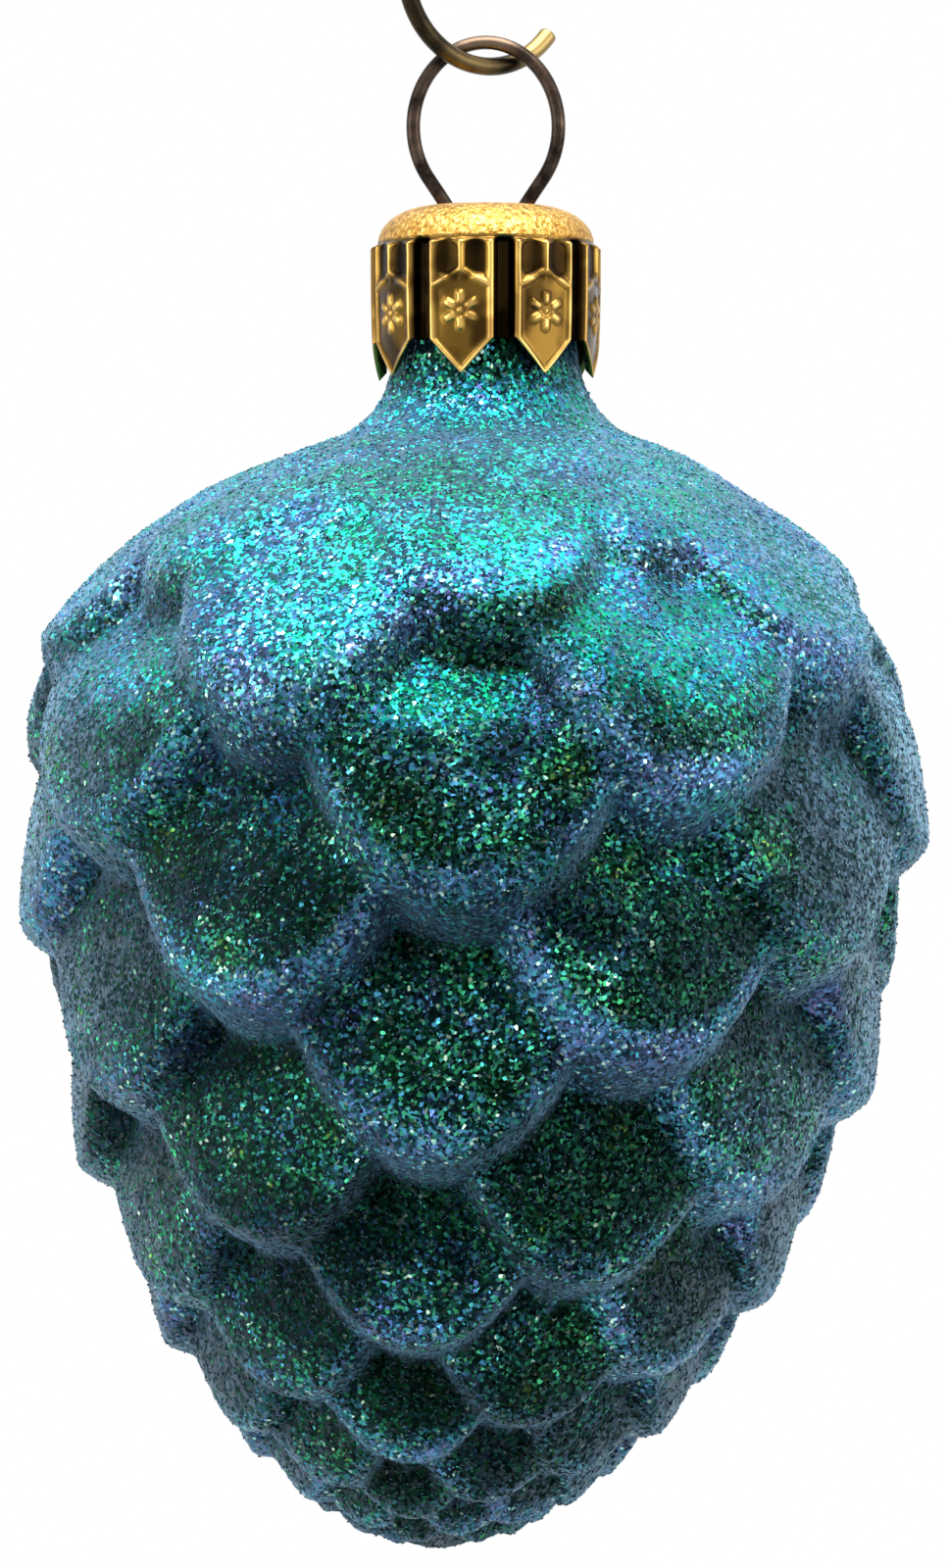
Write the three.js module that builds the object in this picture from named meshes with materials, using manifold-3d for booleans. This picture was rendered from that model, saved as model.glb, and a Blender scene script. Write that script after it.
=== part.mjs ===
// Pine cone ornament: a blown glass cone that hangs from a crown cap, a spring wire hanger and an S hook.
// Millimetres, +Z up, front towards -Y. The origin is the highest point inside the hook's upper bend,
// where a twig carries the ornament. The pieces are first built with the glass tip at the height 0.
import * as THREE from 'three';
import { mergeVertices } from 'three/addons/utils/BufferGeometryUtils.js';
import Module from 'manifold-3d';

const wasm = await Module();
wasm.setup();

// Glass cone
const bodyRadius = 26.7;        // over the scales, at the widest height
const widestHeight = 46;        // above the tip
const shoulderRise = 19;        // from the widest height to where the shoulder would close
const shoulderFullness = 1.5;   // 2 would make the shoulder an ellipse
const tipSharpness = 0.62;      // 0.5 would make the lower half an ellipse, and 1 a parabola
const bodyOffset = 0.9;         // the body sits this far to the left of the neck
const bodyOffsetHeight = 4;     // that offset is reached over this height below the neck
const tipLean = 1.9;            // the tip lies this much further to the left
const neckRadius = 5;
const neckFlare = 3.8;          // how much wider the neck is where it meets the shoulder
const neckFlareDrop = 1.5;      // it starts to narrow this far below where the shoulder would close
const neckFlareLength = 1.8;    // the flare shrinks to a third of itself over this height
const neckPetalGap = 3.54;      // from where the neck starts to narrow up to the cap's petal tips
const glassWall = 0.8;          // the inside follows the scales

// Scales moulded into the glass, along the spiral of a real cone
const scalesToLowerLeft = 5;    // from one scale along the spiral to its neighbour below on the left
const scalesToLowerRight = 8;   // and to its neighbour below on the right
const turnsPerPitch = 5;        // of the spiral, from a scale to the one nearly straight below it
const scaleDrift = 3.27;        // degrees that the lower one of those two lies further to the left
const scaleFrontAngle = 3;      // degrees to the right of the front
const scaleFrontRise = 4.4;     // lip of the highest whole scale at the front, above the widest height
const scalePitchShare = 0.55;   // distance down a column to the next scale, over the radius there
const scaleHalfAngle = 20;      // degrees from a scale's middle to its side
const scaleRise = 0.5;          // how far the lip climbs at the side, over the pitch
const scaleLift = 0.3;          // how far the lip stands out, over the pitch
const scaleTilt = 0.8;          // share of the lift that is lost over one pitch upwards
const scaleBulge = 1.8;         // 1 makes that loss even, and more keeps the scale full above its lip
const scaleCrown = 0.34;        // share of the lift that is lost from the middle to the side
const scaleLipSoftness = 0.19;  // half the height of the rounded lip, over the pitch
const scaleLeastRadius = 2.6;   // no scales nearer to the tip than this radius
const scaleSquareness = 2.4;    // 2 makes the lip a parabola and more makes it squarer
const reliefFadeRise = 4;       // from this far above the widest height the scales grow flatter
const reliefFadeGap = 0.5;      // and they end this far below where the neck starts to narrow

// Crown cap
const capRadius = 6.45;         // over the petals
const capHeight = 9.95;         // top to petal tips
const capSheet = 0.35;
const capFlatRadius = 3;
const capShoulderRadius = 6.2;
const capShoulderDrop = 2.15;
const petalCount = 8;
const petalTurn = -13;          // degrees from the front to the nearest petal's middle
const petalTipRise = 2.05;      // from a petal's tip up to the notch beside it
const petalTipTuck = 0.3;       // the tips curve in by this much
const petalHalfShare = 0.75;    // petal width over petal pitch
const foldDepth = 0.62;         // fold between two petals
const foldStart = 0.3;          // below the cap's shoulder
const foldShare = 0.88;         // from here to the notch a fold is at its full depth
const capSeatGap = 0.35;        // between the cap's underside and the neck's rim

// Hanger: one spring wire, a loop above the cap and two legs inside the neck
const hangerWireRadius = 0.4;
const loopHalfWidth = 4.17;     // to the wire's centre line
const loopWidestHeight = 4.6;   // above the cap's top
const loopRise = 4.84;          // from the widest height to the loop's top
const legSpacing = 2.2;         // from the axis to each leg at the cap's top
const legPinch = 0.6;           // the legs come this much closer just below the cap
const legPinchDepth = 1.4;
const legLength = 13;           // below the cap's top
const legWallGap = 0.35;        // between a leg's end and the neck's bore
const legHoleGap = 0.4;         // around the wire where it goes through the cap

// Hook: one wire bent to an S
const hookWireRadius = 0.525;
const hookLowerBend = 5.4;      // to the wire's centre line
const hookUpperBend = 4.6;
const hookBendSpacing = 12;     // between the two bends' centres
const hookLowerTipAngle = 53;   // degrees past the lowest point
const hookUpperTipAngle = 110;  // degrees past the highest point
const hookTurn = 32;            // degrees between the hook's plane and the loop's
const hookLoopGap = 0.45;       // between the hook and the loop's top, measured straight up

// How finely the curved faces are divided
const scaleDivisions = 5;       // along each side of a scale
const rightLipBend = 1;         // over 1 lets the rows of corners start flatter at a scale's lowest point
const leftLipBend = 1.4;
const neckRingStep = 3;
const tipRingStep = 1.2;
const domeRows = 3;
const skirtRows = 4;
const holeSides = 12;
const wireSides = 8;
const hangerSteps = 64;
const hookSteps = 60;
const loopTopPoints = 9;
const loopFootPoints = 3;
const legPoints = 5;
const hookBendPoints = 18;
const outlineSamples = 800;
const outlineCrowding = 1.6;    // over 1 crowds the samples of the outline at the tip
const facingSamples = 3;        // to each side of a sample, which give the outline's direction there

const turn = THREE.MathUtils.degToRad;
const smoothstep = (x) => THREE.MathUtils.smoothstep(x, 0, 1);
const shortTurn = (degrees) => ((degrees % 360) + 540) % 360 - 180;

const neckFlareHeight = widestHeight + shoulderRise - neckFlareDrop;
const reliefFadeStart = widestHeight + reliefFadeRise;
const reliefFadeEnd = neckFlareHeight - reliefFadeGap;
const capTop = neckFlareHeight + neckPetalGap + capHeight;
// The cap's domed shoulder is this much below its flat top, directly above the neck's outer edge.
const domeShareAtNeck = (neckRadius + capSheet - capFlatRadius) / (capShoulderRadius - capFlatRadius);
const domeDropAtNeck = capShoulderDrop * (1 - Math.cos(Math.asin(domeShareAtNeck)));
const glassHeight = capTop - domeDropAtNeck - capSheet - capSeatGap;
const boreRadius = neckRadius - glassWall;

// Outermost radius of the glass at a height: a pointed lower half, a round shoulder and the neck.
function envelopeRadius(height) {
  if (height < widestHeight) {
    return bodyRadius * (1 - (1 - height / widestHeight) ** 2) ** tipSharpness;
  }
  const climb = Math.min(1, (height - widestHeight) / shoulderRise);
  const shoulder = bodyRadius * Math.sqrt(1 - climb ** shoulderFullness);
  const flare = Math.exp(-Math.max(0, height - neckFlareHeight) / neckFlareLength);
  const neck = neckRadius + neckFlare * flare;
  return Math.max(shoulder, neck);
}

// The scales are full on the body and fade out towards the neck.
function reliefShare(height) {
  return 1 - smoothstep((height - reliefFadeStart) / (reliefFadeEnd - reliefFadeStart));
}

// Radius of the smooth body that the scales stand on.
function baseRadius(height) {
  return envelopeRadius(height) * (1 - scaleLift * scalePitchShare * reliefShare(height));
}

// The smooth body's outline from tip to rim, with the length along it.
const outline = [];
for (let i = 0; i <= outlineSamples; i += 1) {
  const height = glassHeight * (i / outlineSamples) ** outlineCrowding;
  const radius = baseRadius(height);
  const last = outline[i - 1];
  const along = last ? last.along + Math.hypot(radius - last.radius, height - last.height) : 0;
  outline.push({ height, radius, along });
}
const outlineLength = outline[outlineSamples].along;

// Point of the outline at a length along it, with the direction that faces out.
function outlineAt(along) {
  const found = outline.findIndex((sample) => sample.along >= along);
  const high = Math.max(1, found < 0 ? outlineSamples : found);
  const a = outline[high - 1];
  const b = outline[high];
  const share = THREE.MathUtils.clamp((along - a.along) / (b.along - a.along), 0, 1);
  const before = outline[Math.max(0, high - 1 - facingSamples)];
  const after = outline[Math.min(outlineSamples, high + facingSamples)];
  const facing = new THREE.Vector2(after.height - before.height, before.radius - after.radius).normalize();
  const radius = THREE.MathUtils.lerp(a.radius, b.radius, share);
  const height = THREE.MathUtils.lerp(a.height, b.height, share);
  return { radius, height, facing };
}

const pitchAt = (along) => scalePitchShare * envelopeRadius(outlineAt(along).height);

// Scales from one to the next that lies nearly straight below it, and degrees from each to the next.
const scalesPerPitch = scalesToLowerLeft + scalesToLowerRight;
const scaleTurn = (360 * turnsPerPitch - scaleDrift) / scalesPerPitch;

// Every scale's number along the spiral, with 0 at the front, its angle, the place of its lip and its pitch.
function placeScales() {
  const found = [];
  const front = outline.find((sample) => sample.height >= widestHeight + scaleFrontRise).along;
  const add = (number, along) => found.push({
    number, along, angle: scaleFrontAngle + number * scaleTurn, pitch: pitchAt(along),
  });
  let along = front;
  for (let number = 0; outlineAt(along).radius > scaleLeastRadius && along > 0; number += 1) {
    add(number, along);
    along -= pitchAt(along) / scalesPerPitch;
  }
  along = front;
  for (let number = -1; outlineAt(along).height < reliefFadeEnd; number -= 1) {
    along += pitchAt(along) / scalesPerPitch;
    add(number, along);
  }
  return found.sort((a, b) => a.number - b.number);
}
const scales = placeScales();
const firstScale = scales[0].number;
const lastScale = scales.at(-1).number;

// Place along the outline for a number along the spiral, which may be a fraction.
function placeOf(number) {
  const low = THREE.MathUtils.clamp(Math.floor(number), firstScale, lastScale - 1);
  const [a, b] = [scales[low - firstScale], scales[low + 1 - firstScale]];
  return THREE.MathUtils.lerp(a.along, b.along, number - low);
}

// How far the scales lift the surface at an angle in degrees and a length along the outline.
function reliefAt(angle, along) {
  let highest = 0;
  for (const scale of scales) {
    const across = shortTurn(angle - scale.angle) / scaleHalfAngle;
    const above = (along - scale.along) / scale.pitch - scaleRise * Math.abs(across) ** scaleSquareness;
    const lip = smoothstep((above + scaleLipSoftness) / (2 * scaleLipSoftness));
    const slope = Math.max(0, 1 - scaleTilt * Math.max(0, above) ** scaleBulge);
    const crown = Math.max(0, 1 - scaleCrown * across * across);
    highest = Math.max(highest, scaleLift * scale.pitch * lip * slope * crown);
  }
  return highest;
}

// The body's axis is a little to the left of the neck's and leans further that way towards the tip.
function leanAt(height) {
  const offset = bodyOffset * smoothstep((neckFlareHeight - height) / bodyOffsetHeight);
  return -offset - tipLean * Math.max(0, 1 - height / widestHeight) ** 2;
}

// Angle 0 faces the front and positive angles go to the right.
function around(radius, angle, height, lean = 0) {
  return new THREE.Vector3(
    lean + radius * Math.sin(turn(angle)),
    -radius * Math.cos(turn(angle)),
    height,
  );
}

// Closed skin over rings of points from the bottom up, with a point at each end.
function skin(bottom, rings, top) {
  const count = rings[0].length;
  const points = [bottom, ...rings.flat(), top];
  const faces = [];
  const at = (ring, column) => 1 + ring * count + (column % count);
  for (let column = 0; column < count; column += 1) {
    faces.push(0, at(0, column + 1), at(0, column));
    for (let ring = 0; ring + 1 < rings.length; ring += 1) {
      const [a, b] = [at(ring, column), at(ring, column + 1)];
      const [c, d] = [at(ring + 1, column), at(ring + 1, column + 1)];
      faces.push(a, b, d, a, d, c);
    }
    faces.push(points.length - 1, at(rings.length - 1, column), at(rings.length - 1, column + 1));
  }
  const geometry = new THREE.BufferGeometry().setFromPoints(points);
  geometry.setIndex(faces);
  return geometry;
}

function toSolid(geometry) {
  const bare = geometry.clone();
  bare.deleteAttribute('normal');
  bare.deleteAttribute('uv');
  const merged = mergeVertices(bare, 1e-5);
  return new wasm.Manifold(new wasm.Mesh({
    numProp: 3,
    vertProperties: new Float32Array(merged.attributes.position.array),
    triVerts: new Uint32Array(merged.index.array),
  }));
}

function toGeometry(solid) {
  const mesh = solid.getMesh();
  const geometry = new THREE.BufferGeometry();
  geometry.setAttribute('position', new THREE.BufferAttribute(mesh.vertProperties, 3));
  geometry.setIndex(new THREE.BufferAttribute(mesh.triVerts, 1));
  geometry.computeVertexNormals();
  return geometry;
}

// Point of the glass at an angle and a length along the outline, at a depth below the outer face.
function glassPoint(angle, along, depth) {
  const { radius, height, facing } = outlineAt(along);
  const lift = reliefShare(height) * reliefAt(angle, along) - depth;
  return around(radius + lift * facing.x, angle, height + lift * facing.y, leanAt(height));
}

// The corners of the body's faces lie along the two families of spirals through the scales, so that each lip
// is divided alike. A corner is counted in steps down to the left and down to the right from scale 0.
class SpiralGrid {
  constructor(depth) {
    this.depth = depth;
    this.points = [];
    this.faces = [];
    this.known = new Map();
  }

  // Going once round the body changes the counts of steps but comes back to the same corner.
  corner([left, right]) {
    const round = Math.floor(right / (scalesToLowerLeft * scaleDivisions));
    const l = left + round * scalesToLowerRight * scaleDivisions;
    const r = right - round * scalesToLowerLeft * scaleDivisions;
    const key = `${l} ${r}`;
    if (!this.known.has(key)) {
      const byLeft = scalesToLowerLeft * this.bowed(l, rightLipBend);
      const byRight = scalesToLowerRight * this.bowed(r, leftLipBend);
      const place = placeOf(byLeft + byRight - scaleLipSoftness * scalesPerPitch);
      this.known.set(key, this.add(this.angleOf([l, r]), place));
    }
    return this.known.get(key);
  }

  // Count of whole and part scales for a count of steps. From a scale's lowest point the rows of corners
  // set off level and then climb, as its lip does.
  bowed(steps, bend) {
    const scale = Math.ceil(steps / scaleDivisions);
    return scale - smoothstep((scale - steps / scaleDivisions) ** bend);
  }

  angleOf([left, right]) {
    const turned = left * shortTurn(scalesToLowerLeft * scaleTurn);
    return scaleFrontAngle + (turned + right * shortTurn(scalesToLowerRight * scaleTurn)) / scaleDivisions;
  }

  add(angle, along) {
    return this.points.push(glassPoint(angle, along, this.depth)) - 1;
  }

  // Counts of steps from scale 0 to another scale.
  stepsTo(number) {
    let right = 0;
    while ((number - scalesToLowerRight * right) % scalesToLowerLeft !== 0) right += 1;
    const left = (number - scalesToLowerRight * right) / scalesToLowerLeft;
    return [left * scaleDivisions, right * scaleDivisions];
  }

  // The four-sided patch between a scale, its two lower neighbours and the scale nearly straight below.
  patch(number) {
    const [left, right] = this.stepsTo(number);
    for (let i = 0; i < scaleDivisions; i += 1) {
      for (let j = 0; j < scaleDivisions; j += 1) {
        const top = this.corner([left + i, right + j]);
        const lower = this.corner([left + i + 1, right + j + 1]);
        const onLeft = this.corner([left + i + 1, right + j]);
        const onRight = this.corner([left + i, right + j + 1]);
        this.faces.push(top, onLeft, onRight, onLeft, lower, onRight);
      }
    }
  }

  // Closed line of corners through the scales that follow a number, once round to the right.
  loop(number) {
    const line = [];
    let at = number;
    let steps = this.stepsTo(number);
    for (let scale = 0; scale < scalesPerPitch; scale += 1) {
      const upRight = at - scalesToLowerLeft >= number;
      for (let i = 0; i < scaleDivisions; i += 1) {
        line.push(steps);
        steps = upRight ? [steps[0] - 1, steps[1]] : [steps[0], steps[1] + 1];
      }
      at += upRight ? -scalesToLowerLeft : scalesToLowerRight;
    }
    return line;
  }

  ring(angles, along) {
    return angles.map((angle) => this.add(angle, along));
  }

  band(lower, upper) {
    lower.forEach((a, index) => {
      const next = (index + 1) % lower.length;
      this.faces.push(a, lower[next], upper[next], a, upper[next], upper[index]);
    });
  }

  cover(ring, point, facesUp) {
    const middle = this.points.push(point) - 1;
    ring.forEach((a, index) => {
      const b = ring[(index + 1) % ring.length];
      this.faces.push(middle, facesUp ? a : b, facesUp ? b : a);
    });
  }
}

// Closed skin of the whole glass, at a depth below the outer face.
function glassSkin(depth) {
  const grid = new SpiralGrid(depth);
  for (let number = firstScale; number + scalesPerPitch <= lastScale; number += 1) grid.patch(number);

  const upperLoop = grid.loop(firstScale);
  const upperAngles = upperLoop.map((steps) => grid.angleOf(steps));
  let lower = upperLoop.map((steps) => grid.corner(steps));
  const neckStart = placeOf(firstScale) + neckRingStep / 2;
  const neckRings = Math.ceil((outlineLength - neckStart) / neckRingStep);
  for (let ring = 0; ring <= neckRings; ring += 1) {
    const along = THREE.MathUtils.lerp(neckStart, outlineLength, ring / neckRings);
    const upper = grid.ring(upperAngles, along);
    grid.band(lower, upper);
    lower = upper;
  }
  const pastRim = depth > 0 ? glassWall : 0;
  lower.forEach((index) => { grid.points[index].z = glassHeight + pastRim; });
  grid.cover(lower, around(0, 0, glassHeight + pastRim), true);

  const lowerLoop = grid.loop(lastScale - scalesPerPitch + 1);
  const lowerAngles = lowerLoop.map((steps) => grid.angleOf(steps));
  let upper = lowerLoop.map((steps) => grid.corner(steps));
  const tipStart = placeOf(lastScale) - tipRingStep / 2;
  for (let along = tipStart; along > depth + tipRingStep / 2; along -= tipRingStep) {
    const next = grid.ring(lowerAngles, along);
    grid.band(next, upper);
    upper = next;
  }
  grid.cover(upper, around(0, 0, depth, leanAt(0)), false);

  const geometry = new THREE.BufferGeometry().setFromPoints(grid.points);
  geometry.setIndex(grid.faces);
  return toSolid(geometry);
}

// Blown glass shell: the scales show outside and inside, and the neck is open.
function glassCone() {
  return toGeometry(glassSkin(0).subtract(glassSkin(glassWall)));
}

// Radius and height of the cap's outer face at a petal angle, from the middle of the top to the edge.
function capOutline(petalAngle) {
  const half = 180 / petalCount;
  const share = Math.abs(petalAngle) / half;
  const fold = smoothstep((share - petalHalfShare) / (foldShare - petalHalfShare));
  const drop = capHeight - petalTipRise * Math.min(1, share / petalHalfShare);
  const rows = [{ radius: capFlatRadius, height: capTop }];
  for (let row = 1; row <= domeRows; row += 1) {
    const bend = (Math.PI / 2) * (row / domeRows);
    rows.push({
      radius: capFlatRadius + (capShoulderRadius - capFlatRadius) * Math.sin(bend),
      height: capTop - capShoulderDrop * (1 - Math.cos(bend)),
    });
  }
  const skirtTop = capShoulderDrop + foldStart;
  for (let row = 0; row <= skirtRows; row += 1) {
    const down = row / skirtRows;
    rows.push({
      radius: capRadius - foldDepth * fold - petalTipTuck * down ** 3 * (1 - share),
      height: capTop - THREE.MathUtils.lerp(skirtTop, drop, down),
    });
  }
  return rows;
}

// Stamped sheet cap: a domed top and a skirt folded into pointed petals, with two holes for the wire.
function crownCap() {
  const halfWay = petalHalfShare / 2;
  const shares = [-1, -foldShare, -petalHalfShare, -halfWay, 0, halfWay, petalHalfShare, foldShare];
  const columns = [];
  for (let petal = 0; petal < petalCount; petal += 1) {
    for (const share of shares) {
      const petalAngle = (share * 180) / petalCount;
      columns.push({ angle: petalTurn + (petal * 360) / petalCount + petalAngle, petalAngle });
    }
  }
  const outer = columns.map((column) => capOutline(column.petalAngle));
  const rowCount = outer[0].length;
  const rings = [];
  for (let row = 0; row < rowCount; row += 1) {
    const sink = row < 1 ? capSheet : capSheet * (1 - Math.min(row, domeRows) / domeRows);
    rings.push(columns.map((column, index) => {
      const { radius, height } = outer[index][row];
      return around(radius - (row < 1 ? 0 : capSheet), column.angle, height - sink);
    }));
  }
  for (let row = rowCount - 1; row >= 0; row -= 1) {
    rings.push(columns.map((column, index) => {
      const { radius, height } = outer[index][row];
      return around(radius, column.angle, height);
    }));
  }
  const shell = skin(around(0, 0, capTop - capSheet), rings, around(0, 0, capTop));
  let cap = toSolid(shell);
  for (const side of [-1, 1]) {
    const holeRadius = hangerWireRadius + legHoleGap;
    const hole = new THREE.CylinderGeometry(holeRadius, holeRadius, 4 * capSheet, holeSides);
    hole.rotateX(Math.PI / 2);
    hole.translate(side * (legSpacing - legLeanAtCap * capSheet / 2), 0, capTop - capSheet / 2);
    cap = cap.subtract(toSolid(hole));
  }
  return toGeometry(cap);
}

// Below its widest height the loop is round, down to where a straight line reaches the hole in the cap.
const legReach = Math.hypot(legSpacing, loopWidestHeight);
const roundEnd = Math.atan2(loopWidestHeight, legSpacing) - Math.acos(loopHalfWidth / legReach);
// Sideways shift of that line for each millimetre down.
const legLeanAtCap = Math.tan(roundEnd);

// Centre line of the right half of the hanger, from the loop's top down to the leg's end.
function hangerHalf() {
  const points = [];
  const widest = capTop + loopWidestHeight;
  for (let i = 0; i < loopTopPoints; i += 1) {
    const bend = (Math.PI / 2) * (i / loopTopPoints);
    points.push(new THREE.Vector3(loopHalfWidth * Math.sin(bend), 0, widest + loopRise * Math.cos(bend)));
  }
  for (let i = 0; i <= loopFootPoints; i += 1) {
    const bend = roundEnd * (i / loopFootPoints);
    const [aside, drop] = [loopHalfWidth * Math.cos(bend), loopHalfWidth * Math.sin(bend)];
    points.push(new THREE.Vector3(aside, 0, widest - drop));
  }
  const footAside = boreRadius - legWallGap - hangerWireRadius;
  const pinchAside = legSpacing - legPinch;
  points.push(new THREE.Vector3(legSpacing - legLeanAtCap * capSheet, 0, capTop - capSheet));
  points.push(new THREE.Vector3(pinchAside, 0, capTop - legPinchDepth));
  for (let i = 1; i <= legPoints; i += 1) {
    const down = i / legPoints;
    points.push(new THREE.Vector3(
      THREE.MathUtils.lerp(pinchAside, footAside, down),
      0,
      THREE.MathUtils.lerp(capTop - legPinchDepth, capTop - legLength, down),
    ));
  }
  return points;
}

function wireAlong(points, radius, steps) {
  const section = new THREE.Shape();
  for (let side = 0; side < wireSides; side += 1) {
    const corner = (2 * Math.PI * side) / wireSides;
    const [x, y] = [radius * Math.cos(corner), radius * Math.sin(corner)];
    if (side === 0) section.moveTo(x, y);
    else section.lineTo(x, y);
  }
  const path = new THREE.CatmullRomCurve3(points, false, 'centripetal');
  const geometry = new THREE.ExtrudeGeometry(section, { extrudePath: path, steps, bevelEnabled: false });
  return toGeometry(toSolid(geometry));
}

function hangerWire() {
  const right = hangerHalf();
  const left = right.slice(1).reverse().map((point) => new THREE.Vector3(-point.x, 0, point.z));
  return wireAlong([...left, ...right], hangerWireRadius, hangerSteps);
}

const loopTop = capTop + loopWidestHeight + loopRise;
const hookBottom = loopTop - hangerWireRadius - hookLoopGap - hookWireRadius;
const hookLowerCentre = hookBottom + hookLowerBend;
const hookUpperCentre = hookLowerCentre + hookBendSpacing;
const hangHeight = hookUpperCentre + hookUpperBend - hookWireRadius;

// S hook: the lower bend opens to the right, the upper bend opens to the left, a straight shank between.
function hookWire() {
  const points = [];
  const bendEnd = Math.PI / 2 + Math.asin((hookLowerBend + hookUpperBend) / hookBendSpacing);
  const add = (aside, height) => points.push(new THREE.Vector3(
    aside * Math.cos(turn(hookTurn)),
    aside * Math.sin(turn(hookTurn)),
    height,
  ));
  for (let i = 0; i <= hookBendPoints; i += 1) {
    const bend = THREE.MathUtils.lerp(turn(hookLowerTipAngle), -bendEnd, i / hookBendPoints);
    add(hookLowerBend * Math.sin(bend), hookLowerCentre - hookLowerBend * Math.cos(bend));
  }
  for (let i = 0; i <= hookBendPoints; i += 1) {
    const bend = THREE.MathUtils.lerp(bendEnd, -turn(hookUpperTipAngle), i / hookBendPoints);
    add(hookUpperBend * Math.sin(bend), hookUpperCentre + hookUpperBend * Math.cos(bend));
  }
  return wireAlong(points, hookWireRadius, hookSteps);
}

const ornament = new THREE.Group();
ornament.position.z = -hangHeight;

function addPiece(name, geometry, color, roughness, metalness) {
  const mesh = new THREE.Mesh(geometry, new THREE.MeshStandardMaterial({ color, roughness, metalness }));
  mesh.name = name;
  ornament.add(mesh);
}

addPiece('glass_cone', glassCone(), '#1f5d5e', 0.45, 0.3);
addPiece('crown_cap', crownCap(), '#c9a04a', 0.3, 1);
addPiece('hanger_wire', hangerWire(), '#4a3f36', 0.4, 1);
addPiece('hook_wire', hookWire(), '#75684c', 0.4, 1);

export default ornament;
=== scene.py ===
# Looks of the pine cone ornament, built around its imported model. Metres, +Z up, front towards -Y.
import math

import bpy
import numpy as np
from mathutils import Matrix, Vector


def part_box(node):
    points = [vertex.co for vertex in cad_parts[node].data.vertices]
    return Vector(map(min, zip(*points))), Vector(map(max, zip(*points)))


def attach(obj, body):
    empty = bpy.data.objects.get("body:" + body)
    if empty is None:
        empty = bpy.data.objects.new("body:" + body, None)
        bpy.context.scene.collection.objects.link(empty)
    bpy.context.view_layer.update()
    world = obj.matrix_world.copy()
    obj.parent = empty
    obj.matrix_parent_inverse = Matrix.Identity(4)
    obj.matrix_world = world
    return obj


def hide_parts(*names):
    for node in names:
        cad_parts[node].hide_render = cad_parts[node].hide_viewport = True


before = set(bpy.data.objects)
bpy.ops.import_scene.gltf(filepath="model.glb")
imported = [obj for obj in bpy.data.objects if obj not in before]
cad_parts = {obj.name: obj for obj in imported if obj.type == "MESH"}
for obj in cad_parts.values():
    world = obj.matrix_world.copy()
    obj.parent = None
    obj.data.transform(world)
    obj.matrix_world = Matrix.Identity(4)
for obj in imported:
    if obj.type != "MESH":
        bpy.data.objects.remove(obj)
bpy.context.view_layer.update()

MM = 0.001

# Places that the frame gives
GLASS_LOW, GLASS_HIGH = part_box("glass_cone")
CAP_LOW, CAP_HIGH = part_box("crown_cap")
TIP_HEIGHT = GLASS_LOW.z                    # of the glass, below the hanging point
GLASS_LENGTH = GLASS_HIGH.z - GLASS_LOW.z   # tip to neck rim

# Glass cone
BODY_RADIUS = 26.7 * MM                     # over the scales, at the widest height
WIDEST = 46 * MM                            # heights are above the tip
SHOULDER_RISE = 19 * MM                     # from the widest height to where the shoulder would close
SHOULDER_FULLNESS = 1.5                     # higher makes the shoulder squarer
TIP_SHARPNESS = 0.62                        # 0.5 is a round tip, and higher is more pointed
BODY_OFFSET = 0.9 * MM                      # the body hangs this far to the left of its neck
BODY_OFFSET_HEIGHT = 4 * MM                 # over which the neck bends across
TIP_LEAN = 1.9 * MM                         # of the tip, further to the left
NECK_RADIUS = 5 * MM
NECK_FLARE = 3.8 * MM
NECK_FLARE_HEIGHT = 63.5 * MM
NECK_FLARE_LENGTH = 1.8 * MM
GLASS_WALL = 0.8 * MM

# Scales moulded into the glass
SCALES_PER_PITCH = 13                       # scales that start within the height of one
TURNS_PER_PITCH = 5
PITCH_SHORTFALL = 3.27                      # degrees that its scales fall short of the full turns
SCALE_TURN = (360 * TURNS_PER_PITCH - PITCH_SHORTFALL) / SCALES_PER_PITCH
SCALE_FRONT_ANGLE = 3                       # degrees to the right, of the scale that the rest follow
SCALE_FRONT_HEIGHT = 50.4 * MM
SCALE_PITCH_SHARE = 0.55                    # pitch of the scales over the radius of the body
SCALE_HALF_ANGLE = 20                       # degrees around, from a scale's middle to its side
SCALE_RISE = 0.5                            # of the lip at its side over its lowest point, in pitches
SCALE_LIFT = 0.3                            # of a lip off the body, in pitches
SCALE_TILT = 0.8                            # share of the lift that is lost one pitch above the lip
SCALE_BULGE = 1.8                           # higher keeps a scale full for longer above its lip
SCALE_CROWN = 0.34                          # share of the lift that is lost at a scale's side
SCALE_SOFTNESS = 0.19                       # half the height of a lip's slope, in pitches
SHOULDER_SOFTENING = 1.2                    # the highest scales have lips that are softer by this share
SCALE_LEAST_RADIUS = 2.6 * MM               # no scale starts where the tip is narrower
SCALE_SQUARENESS = 2.4                      # higher makes the lip's outline squarer
SCALE_BLEND = 6                             # higher makes the creases between scales sharper
FADE_START = 50 * MM                        # the scales fade out between these heights
FADE_END = 63 * MM

# Painted sheen: pale bands along the lips of the scales, standing in for the bluish haze of the glitter at
# grazing angles
LIP_SEED = 3
LIP_LEAST = 0.2                             # some lips are paler than others
LIP_MOST = 1
LIP_REACH = 1.1 * MM                        # the pale band fades out over this width
LIP_SIDE_SLOPE = 1.2                        # slope of a lip at its scale's sides
LIP_CRISPNESS = 3                           # lower lets the pale band spread over the crease below it

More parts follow.
